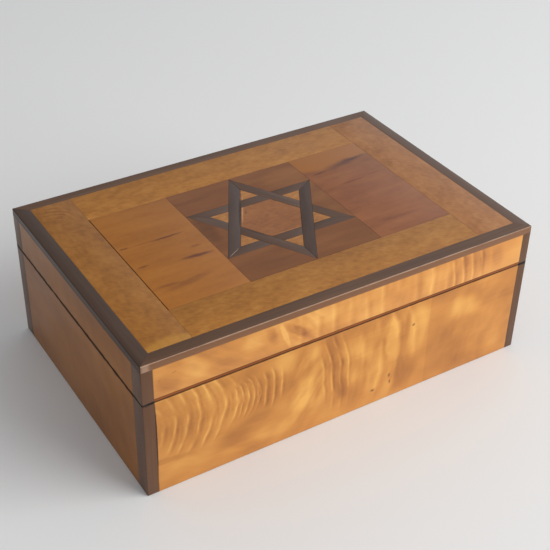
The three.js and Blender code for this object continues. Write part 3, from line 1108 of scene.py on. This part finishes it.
@dataclass
class Arris:
    """How far the edges of a piece are rounded."""

    outer: float = 0.7
    inner: float = 0.1
    segments: int = 3
    slack: float = 0.3
    flat_angle: float = 12.0
    live: bool = True

    def outer_faces(self, point: Vector) -> int:
        """Counts the box's own outer faces that a point lies on.

        Args:
            point: A point in metres.

        Returns:
            The number of faces, from 0 to 3.
        """
        slack = self.slack * MM
        ends = abs(abs(point.x) - HIGH.x) < slack
        sides = abs(abs(point.y) + LOW.y) < slack
        level = min(abs(point.z - HIGH.z), abs(point.z - LOW.z)) < slack
        return int(ends) + int(sides) + int(level)

    def weigh(self, work: bmesh.types.BMesh) -> None:
        """Gives each sharp edge its share of the rounding.

        Args:
            work: A merged mesh.
        """
        if not self.live:
            return
        layer = work.edges.layers.float.new("bevel_weight_edge")
        for edge in work.edges:
            if edge.calc_face_angle(0.0) < math.radians(self.flat_angle):
                continue
            middle = (edge.verts[0].co + edge.verts[1].co) / 2
            is_outer = self.outer_faces(middle) > 1
            edge[layer] = 1.0 if is_outer else self.inner / self.outer

    def round(self, piece: bpy.types.Object) -> None:
        """Rounds the weighed edges.

        Args:
            piece: The object.
        """
        if not self.live:
            return
        bevel = piece.modifiers.new("arris", "BEVEL")
        bevel.width = self.outer * MM
        bevel.segments = self.segments
        bevel.limit_method = "WEIGHT"
        bevel.harden_normals = True


def merged(node: str, arris: Arris) -> bpy.types.Mesh:
    """Copies a solid's mesh with its loose triangles joined into whole faces.

    Args:
        node: The solid's name.
        arris: How its edges are rounded.

    Returns:
        The new mesh.
    """
    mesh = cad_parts[node].data.copy()
    work = bmesh.new()
    work.from_mesh(mesh)
    bmesh.ops.remove_doubles(work, verts=work.verts, dist=MERGE_DISTANCE * MM)
    flat = math.radians(FLAT_WITHIN)
    bmesh.ops.dissolve_limit(work, angle_limit=flat, verts=work.verts, edges=work.edges)
    bmesh.ops.recalc_face_normals(work, faces=work.faces)
    arris.weigh(work)
    work.to_mesh(mesh)
    work.free()
    return mesh


def placed(name: str, mesh: bpy.types.Mesh, material: bpy.types.Material) -> bpy.types.Object:
    """Puts a mesh in the scene as an object with one material.

    Args:
        name: The object's name.
        mesh: Its mesh.
        material: Its material.

    Returns:
        The object.
    """
    mesh.materials.clear()
    mesh.materials.append(material)
    piece = bpy.data.objects.new(name, mesh)
    bpy.context.scene.collection.objects.link(piece)
    return piece


def hand_over(piece: bpy.types.Object, body: str, slot: str, *nodes: str) -> None:
    """Hides the solids that a piece stands for, hangs the piece on its body's empty and logs it.

    Args:
        piece: The finished piece.
        body: The body that it moves with.
        slot: Not used.
        nodes: The solids, if any.
    """
    if nodes:
        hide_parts(*nodes)
    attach(piece, body)
    log.info("%s: %s on %s", piece.name, piece.data.materials[0].name, body)


@dataclass
class Joinery:
    """Pieces that keep a solid's shape, with rounded edges and a timber of their own."""

    arris: Arris = field(default_factory=Arris)

    def finish(
        self,
        node: str,
        body: str,
        slot: str,
        timber: Timber,
        face: Face,
        run: Run,
        turn: float = 0.0,
    ) -> bpy.types.Object:
        """Makes the finished piece that stands for one solid.

        Args:
            node: The solid's name.
            body: The body it moves with.
            slot: The record's material slot.
            timber: Its timber.
            face: Its show face.
            run: The way its fibres run.
            turn: How far the fibres are turned from that, in degrees.

        Returns:
            The finished piece.
        """
        mesh = merged(node, self.arris)
        if self.arris.live:
            mesh.shade_smooth()
        spot = Spot(node, face, run, *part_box(node), turn)
        piece = placed(f"{node}_finished", mesh, timber.paint(spot))
        self.arris.round(piece)
        hand_over(piece, body, slot, node)
        return piece


@dataclass
class Carcass(Joinery):
    """The boards that the veneers are glued to, which show inside the box and at the rims."""

    timber: Timber = CEDAR

    def build(self) -> None:
        """Finishes the ten boards."""
        for body in (BASE, LID):
            for number, side in enumerate(("front", "back", "left", "right")):
                turned = side in ("left", "right")
                timber = replace(self.timber, seed=self.timber.seed + number)
                face, run = (Face.SIDE, Run.Y) if turned else (Face.FRONT, Run.X)
                self.finish(f"{body}_{side}_board", body, "carcass_wood", timber, face, run)
        for node, body in (("base_bottom_board", BASE), ("lid_top_board", LID)):
            self.finish(node, body, "carcass_wood", self.timber, Face.TOP, Run.X)


@dataclass
class Walls(Joinery):
    """The veneers of the four sides, the corner strips and the strip above the parting."""

    front: Timber = FRONT_VENEER
    lid_front: Timber = LID_FRONT_VENEER
    side: Timber = SHADED_SIDE_VENEER
    corner: Timber = CORNER
    strip: Timber = RED_STRIP
    back_shift: float = 3.1
    side_shift: float = 0.7

    def build(self) -> None:
        """Finishes the eight veneers, the eight corner strips and the front strip."""
        for body in (BASE, LID):
            front = self.front if body == BASE else self.lid_front
            back = replace(front, seed=front.seed + self.back_shift, marks=())
            for side, timber in (("front", front), ("back", back)):
                node = f"{body}_{side}_veneer"
                self.finish(node, body, "honey_veneer", timber, Face.FRONT, Run.X)
            for number, side in enumerate(("left", "right")):
                timber = replace(self.side, seed=self.side.seed + self.side_shift * number)
                node = f"{body}_{side}_veneer"
                self.finish(node, body, "honey_veneer", timber, Face.SIDE, Run.Y)
            for number, end in enumerate(("front", "back")):
                for hand in ("left", "right"):
                    timber = replace(self.corner, seed=self.corner.seed + number + len(hand))
                    node = f"{body}_{end}_{hand}_corner"
                    self.finish(node, body, "dark_edging", timber, Face.FRONT, Run.Z)
        self.finish("lid_front_line", LID, "red_strip", self.strip, Face.FRONT, Run.X)


@dataclass
class Top(Joinery):
    """The veneered top inside its mitred edging."""

    edging: Timber = ROSEWOOD
    front_edging: Timber = WORN_AND_LIT_ROSEWOOD
    left_edging: Timber = SHADED_LEFT_ROSEWOOD
    right_edging: Timber = RIGHT_ROSEWOOD
    border: Timber = BORDER
    left_border: Timber = LEFT_BORDER
    right_border: Timber = RIGHT_BORDER
    left: Timber = LEFT_FIELD
    right: Timber = RIGHT_FIELD
    edging_shift: float = 2.0
    border_shift: float = 1.3

    def build(self) -> None:
        """Finishes the edging, the border strips and the two fields."""
        for number, side in enumerate(("front", "right", "back", "left")):
            run = Run.X if side in ("front", "back") else Run.Y
            cut = getattr(self, f"{side}_edging", self.edging)
            edging = replace(cut, seed=cut.seed + self.edging_shift * number)
            self.finish(f"lid_{side}_edging", LID, "dark_edging", edging, Face.TOP, run)
            cut = getattr(self, f"{side}_border", self.border)
            border = replace(cut, seed=cut.seed + self.border_shift * number)
            self.finish(f"lid_{side}_border", LID, "border_veneer", border, Face.TOP, run)
        fields = (("left", "streaked_veneer", self.left), ("right", "pinkish_veneer", self.right))
        for side, slot, timber in fields:
            self.finish(f"lid_{side}_field", LID, slot, timber, Face.TOP, Run.X)


# ---------------------------------------------------------------- rule-made pieces

FLOAT = "NodeSocketFloat"
COUNT = "NodeSocketInt"
TURN = "NodeSocketVector"
MATERIAL = "NodeSocketMaterial"


@dataclass
class Rule:
    """A geometry tree with named inputs, made in the script and turned into plain meshes."""

    name: str

    def start(self, inputs: Mapping[str, str]) -> tuple[bpy.types.NodeTree, bpy.types.Node]:
        """Makes the empty tree with its named inputs.

        Args:
            inputs: The kind of socket for each input's name.

        Returns:
            The tree and the node that gives its inputs.
        """
        tree = bpy.data.node_groups.new(self.name, "GeometryNodeTree")
        tree.interface.new_socket("Geometry", in_out="OUTPUT", socket_type="NodeSocketGeometry")
        for name, kind in inputs.items():
            tree.interface.new_socket(name, in_out="INPUT", socket_type=kind)
        return tree, add(tree, "NodeGroupInput")

    def end(self, tree: bpy.types.NodeTree, shape: bpy.types.Node, given: bpy.types.Node) -> None:
        """Closes the tree with real meshes that carry the material.

        Args:
            tree: The tree.
            shape: The node with the finished shape.
            given: The node that gives the inputs.
        """
        real = add(tree, "GeometryNodeRealizeInstances", {"Geometry": shape})
        worn = add(
            tree,
            "GeometryNodeSetMaterial",
            {"Geometry": real, "Material": given.outputs["Material"]},
        )
        add(tree, "NodeGroupOutput", {"Geometry": worn})

    def mesh(self, tree: bpy.types.NodeTree, values: Mapping[str, object]) -> bpy.types.Mesh:
        """Runs the tree once.

        Args:
            tree: The tree.
            values: A value for each named input.

        Returns:
            The plain mesh.
        """
        holder = bpy.data.objects.new(self.name, bpy.data.meshes.new(self.name))
        bpy.context.scene.collection.objects.link(holder)
        modifier = holder.modifiers.new(self.name, "NODES")
        modifier.node_group = tree
        for socket in tree.interface.items_tree:
            if socket.in_out == "INPUT":
                modifier[socket.identifier] = values[socket.name]
        graph = bpy.context.evaluated_depsgraph_get()
        mesh = bpy.data.meshes.new_from_object(holder.evaluated_get(graph), depsgraph=graph)
        bpy.data.objects.remove(holder)
        return mesh


@dataclass
class Inlay(Rule):
    """A regular many-sided slip of veneer, set at a distance from the star's centre and turned."""

    name: str = "regular_inlay"

    def build(self) -> bpy.types.NodeTree:
        """Makes the tree.

        Returns:
            The tree.
        """
        tree, given = self.start(
            {
                "Sides": COUNT,
                "Radius": FLOAT,
                "Thickness": FLOAT,
                "Place": TURN,
                "Turn": TURN,
                "Centre": TURN,
                "Material": MATERIAL,
            }
        )
        out = given.outputs
        prism = add(
            tree,
            "GeometryNodeMeshCylinder",
            {"Vertices": out["Sides"], "Radius": out["Radius"], "Depth": out["Thickness"]},
            fill_type="NGON",
        )
        upright = add(
            tree,
            "GeometryNodeTransform",
            {
                "Geometry": prism.outputs["Mesh"],
                "Rotation": (0.0, 0.0, math.pi / 2),
                "Translation": out["Place"],
            },
        )
        turned = add(tree, "GeometryNodeTransform", {"Geometry": upright, "Rotation": out["Turn"]})
        centred = add(tree, "GeometryNodeTransform", {"Geometry": turned, "Translation": out["Centre"]})
        self.end(tree, centred, given)
        return tree


@dataclass
class Star(Joinery):
    """The six-pointed star let into its square ground."""

    points: int = 6
    ground: Timber = GROUND
    strip: Timber = STAR_WALNUT
    upper: Timber = UPPER_WALNUT
    centre: Timber = HEXAGON
    point: Timber = POINT
    rule: Inlay = field(default_factory=Inlay)

    def slip(
        self, tree: bpy.types.NodeTree, node: str, slot: str, timber: Timber, sides: int, turn: float
    ) -> None:
        """Makes one regular slip from the box of its solid as it lies before it is turned.

        Args:
            tree: The inlay's tree.
            node: The solid it stands for.
            slot: The record's material slot.
            timber: Its timber.
            sides: How many sides it has.
            turn: How far it is turned about the star's centre, in degrees.
        """
        pattern = "star_point_1" if sides == 3 else node
        low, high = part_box(pattern)
        middle = (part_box("star_ground")[0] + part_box("star_ground")[1]) / 2
        # A triangle's own centre is a third of the way up from its base.
        radius = (high.y - low.y) * 2 / 3 if sides == 3 else (high.x - low.x) / 2
        place = Vector((0.0, high.y - radius, 0.0)) if sides == 3 else Vector()
        twist = 0.0 if sides == 3 else math.pi / 2
        spot = Spot(node, Face.TOP, Run.X, *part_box(node))
        material = timber.paint(spot)
        mesh = self.rule.mesh(
            tree,
            {
                "Sides": sides,
                "Radius": radius,
                "Thickness": high.z - low.z,
                "Place": place,
                "Turn": (0.0, 0.0, math.radians(turn) + twist),
                "Centre": Vector((middle.x, middle.y, (low.z + high.z) / 2)),
                "Material": material,
            },
        )
        work = bmesh.new()
        work.from_mesh(mesh)
        self.arris.weigh(work)
        work.to_mesh(mesh)
        work.free()
        mesh.shade_smooth()
        piece = placed(f"{node}_finished", mesh, material)
        self.arris.round(piece)
        hand_over(piece, LID, slot, node)

    def build(self) -> None:
        """Finishes the ground and the strips, and makes the points and the hexagon."""
        # The ground's outline is flush with its neighbours all round, so it is left unrounded.
        flush = Joinery(Arris(live=False))
        flush.finish("star_ground", LID, "brown_veneer", self.ground, Face.TOP, Run.X)
        tree = self.rule.build()
        self.slip(tree, "star_centre", "centre_veneer", self.centre, self.points, 0.0)
        step = 360 / self.points
        for number in range(self.points):
            cut = self.upper if number % 3 == 1 else self.strip
            strip = replace(cut, seed=cut.seed + number)
            node = f"star_strip_{number + 1}"
            turn = number * step
            self.finish(node, LID, "dark_edging", strip, Face.TOP, Run.X, turn)
            point = replace(self.point, seed=self.point.seed + 2 * number)
            node = f"star_point_{number + 1}"
            self.slip(tree, node, "point_veneer", point, 3, turn)


@dataclass
class Screws(Rule):
    """Slotted countersunk screws in rows, one row in each leaf of the hinges."""

    name: str = "slotted_screws"
    head_radius: float = 2.0
    neck_radius: float = 1.15
    head_depth: float = 0.85
    slot_width: float = 0.55
    slot_depth: float = 0.4
    sides: int = 32
    seed: int = 7

    def build(self) -> bpy.types.NodeTree:
        """Makes the tree.

        Returns:
            The tree.
        """
        tree, given = self.start(
            {
                "Head radius": FLOAT,
                "Neck radius": FLOAT,
                "Head depth": FLOAT,
                "Slot size": TURN,
                "In a row": COUNT,
                "Row step": TURN,
                "Rows": COUNT,
                "Step between rows": TURN,
                "First screw": TURN,
                "Flip": TURN,
                "Seed": COUNT,
                "Material": MATERIAL,
            }
        )
        out = given.outputs
        cone = add(
            tree,
            "GeometryNodeMeshCone",
            {
                "Vertices": self.sides,
                "Radius Top": out["Head radius"],
                "Radius Bottom": out["Neck radius"],
                "Depth": out["Head depth"],
            },
        )
        blade = add(tree, "GeometryNodeMeshCube", {"Size": out["Slot size"]})
        top = add(tree, "ShaderNodeCombineXYZ", {"Z": out["Head depth"]})
        raised = add(
            tree,
            "GeometryNodeTransform",
            {"Geometry": blade.outputs["Mesh"], "Translation": top},
        )
        head = add(
            tree,
            "GeometryNodeMeshBoolean",
            {"Mesh 1": cone.outputs["Mesh"], "Mesh 2": raised},
            operation="DIFFERENCE",
            solver="EXACT",
        )
        # The heads' tops lie at the height of the row, so each head hangs below it.
        sunk = add(tree, "ShaderNodeVectorMath", [top, (0.0, 0.0, -1.0)], operation="MULTIPLY")
        hung = add(
            tree,
            "GeometryNodeTransform",
            {"Geometry": head.outputs["Mesh"], "Translation": sunk},
        )
        row = add(tree, "GeometryNodeMeshLine", {"Count": out["In a row"], "Offset": out["Row step"]})
        turns = add(
            tree,
            "FunctionNodeRandomValue",
            {"Min": (0.0, 0.0, 0.0), "Max": (0.0, 0.0, math.pi), "Seed": out["Seed"]},
            data_type="FLOAT_VECTOR",
        )
        screws = add(
            tree,
            "GeometryNodeInstanceOnPoints",
            {"Points": row, "Instance": hung, "Rotation": turns.outputs["Value"]},
        )
        flipped = add(tree, "GeometryNodeTransform", {"Geometry": screws, "Rotation": out["Flip"]})
        rows = add(
            tree,
            "GeometryNodeMeshLine",
            {
                "Count": out["Rows"],
                "Start Location": out["First screw"],
                "Offset": out["Step between rows"],
            },
        )
        both = add(tree, "GeometryNodeInstanceOnPoints", {"Points": rows, "Instance": flipped})
        self.end(tree, both, given)
        return tree


@dataclass
class Hinges(Joinery):
    """Two brass butt hinges on the back rim, with their pins and screws."""

    arris: Arris = field(default_factory=lambda: Arris(0.12, 0.12, 2, flat_angle=32.0))
    brass: Brass = field(default_factory=Brass)
    screws: Screws = field(default_factory=Screws)
    row_count: int = 3
    pitch: float = 13.0
    screw_line: float = 4.0
    recess: float = 0.05
    leaf_recess: float = 0.125

    def metal(self, node: str, body: str) -> None:
        """Finishes one leaf or pin.

        Args:
            node: The solid's name.
            body: The body it moves with.
        """
        mesh = merged(node, self.arris)
        mesh.shade_smooth()
        piece = placed(f"{node}_finished", mesh, self.brass.paint())
        self.arris.round(piece)
        hand_over(piece, body, "hinge_brass", node)

    def screw_rows(self, tree: bpy.types.NodeTree, body: str) -> None:
        """Sets the screws of one body's two leaves.

        Args:
            tree: The screws' tree.
            body: The body whose leaves they hold.
        """
        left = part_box(f"hinge_left_{body}_leaf")
        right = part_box(f"hinge_right_{body}_leaf")
        is_base = body == BASE
        face = self.leaf_face(body)
        first = Vector(
            (
                (left[0].x + left[1].x) / 2 + (-1 if is_base else 1) * self.pitch * MM,
                left[0].y + self.screw_line * MM,
                face - (1 if is_base else -1) * self.recess * MM,
            )
        )
        form = self.screws
        mesh = form.mesh(
            tree,
            {
                "Head radius": form.head_radius * MM,
                "Neck radius": form.neck_radius * MM,
                "Head depth": form.head_depth * MM,
                "Slot size": Vector((3 * form.head_radius, form.slot_width, 2 * form.slot_depth))
                * MM,
                "In a row": self.row_count,
                "Row step": (self.pitch * MM, 0.0, 0.0),
                "Rows": 2,
                "Step between rows": (right[0].x - left[0].x, 0.0, 0.0),
                "First screw": first,
                "Flip": (0.0, 0.0 if is_base else math.pi, 0.0),
                "Seed": form.seed + int(is_base),
                "Material": self.brass.paint(),
            },
        )
        piece = placed(f"{body}_hinge_screws", mesh, self.brass.paint())
        hand_over(piece, body, "hinge_brass")

    def leaf_face(self, body: str) -> float:
        """The height of the screwed face of a body's leaves.

        Args:
            body: The body.

        Returns:
            The height in metres.
        """
        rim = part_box(f"{body}_back_board")[1 if body == BASE else 0].z
        gap = self.leaf_recess * MM
        return rim - gap if body == BASE else rim + gap

    def build(self) -> None:
        """Finishes the leaves and pins and makes the screws."""
        for side in ("left", "right"):
            self.metal(f"hinge_{side}_base_leaf", BASE)
            self.metal(f"hinge_{side}_pin", BASE)
            self.metal(f"hinge_{side}_lid_leaf", LID)
        tree = self.screws.build()
        for body in (BASE, LID):
            self.screw_rows(tree, body)


# ---------------------------------------------------------------- studio


@dataclass(frozen=True)
class Lamp:
    """A square soft light: its place, its width, its power in watts and its sRGB hex colour."""

    name: str
    place: tuple[float, float, float]
    size: float
    power: float
    shade: str


@dataclass
class Studio:
    """The floor, the lights and the camera."""

    lens: float = 74.7
    place: tuple[float, float, float] = (-355.5, -566.4, 527.9)
    azimuth: float = 32.43
    down: float = 35.21
    roll: float = 1.25
    sensor: float = 36.0
    near_limit: float = 10.0
    floor_size: float = 8000.0
    floor_shade: str = "#e5e5e4"
    floor_roughness: float = 0.75
    lamps: tuple[Lamp, ...] = (
        Lamp("window", (1300.0, -1500.0, 1150.0), 2000.0, 54.0, "#ffffff"),
        Lamp("far_window", (1500.0, 1300.0, 1000.0), 1800.0, 2.5, "#f6f8ff"),
    )
    left_wall: str = "#dddfe3"
    right_wall: str = "#ffffff"
    wall_span: tuple[float, float] = (-0.6, 0.9)
    fill: float = 0.58

    def camera(self) -> None:
        """Places the camera."""
        data = bpy.data.cameras.new("camera")
        data.lens = self.lens
        data.sensor_width = self.sensor
        data.clip_start = self.near_limit * MM
        eye = bpy.data.objects.new("camera", data)
        bpy.context.scene.collection.objects.link(eye)
        eye.matrix_world = (
            Matrix.Translation(Vector(self.place) * MM)
            @ Matrix.Rotation(-math.radians(self.azimuth), 4, "Z")
            @ Matrix.Rotation(math.radians(90 - self.down), 4, "X")
            @ Matrix.Rotation(math.radians(self.roll), 4, "Z")
        )
        bpy.context.scene.camera = eye

    def floor(self) -> None:
        """Lays a matt pale floor under the box."""
        half = self.floor_size / 2 * MM
        mesh = bpy.data.meshes.new("floor")
        corners = [(-half, -half, 0.0), (half, -half, 0.0), (half, half, 0.0), (-half, half, 0.0)]
        mesh.from_pydata(corners, [], [(0, 1, 2, 3)])
        material = bpy.data.materials.new("matt_paper")
        material.use_nodes = True
        shader = material.node_tree.nodes["Principled BSDF"]
        shader.inputs["Base Color"].default_value = linear(self.floor_shade)
        shader.inputs["Roughness"].default_value = self.floor_roughness
        placed("floor", mesh, material)

    def hang(self, lamp: Lamp) -> None:
        """Hangs a light that faces the box.

        Args:
            lamp: The light.
        """
        data = bpy.data.lights.new(lamp.name, "AREA")
        data.shape = "SQUARE"
        data.size = lamp.size * MM
        data.energy = lamp.power
        data.color = linear(lamp.shade)[:3]
        hung = bpy.data.objects.new(lamp.name, data)
        hung.location = Vector(lamp.place) * MM
        aim = Vector((0, 0, HIGH.z / 2)) - hung.location
        hung.rotation_euler = aim.to_track_quat("-Z", "Y").to_euler()
        bpy.context.scene.collection.objects.link(hung)

    def build(self) -> None:
        """Sets up the whole studio."""
        self.camera()
        self.floor()
        for lamp in self.lamps:
            self.hang(lamp)
        self.room()
        bpy.context.scene.view_settings.view_transform = "Standard"

    def room(self) -> None:
        """Surrounds the scene with a pale room that is lighter on the right."""
        world = bpy.data.worlds.new("studio")
        world.use_nodes = True
        tree = world.node_tree
        tree.nodes.clear()
        way = add(tree, "ShaderNodeTexCoord").outputs["Generated"]
        right = add(tree, "ShaderNodeSeparateXYZ", [way]).outputs["X"]
        low, high = self.wall_span
        share = add(tree, BETWEEN, {"Value": right, "From Min": low, "From Max": high})
        walls = ((0.0, self.left_wall), (1.0, self.right_wall))
        shade = add(tree, "ShaderNodeValToRGB", [share], stops=walls)
        glow = add(tree, "ShaderNodeBackground", {"Color": shade, "Strength": self.fill})
        add(tree, "ShaderNodeOutputWorld", {"Surface": glow})
        bpy.context.scene.world = world


def main() -> None:
    """Builds every part in order."""
    logging.basicConfig(level=logging.INFO, format="%(message)s")
    Studio().build()
    Carcass().build()
    Walls().build()
    Top().build()
    Star().build()
    Hinges().build()


if __name__ == "__main__":
    main()
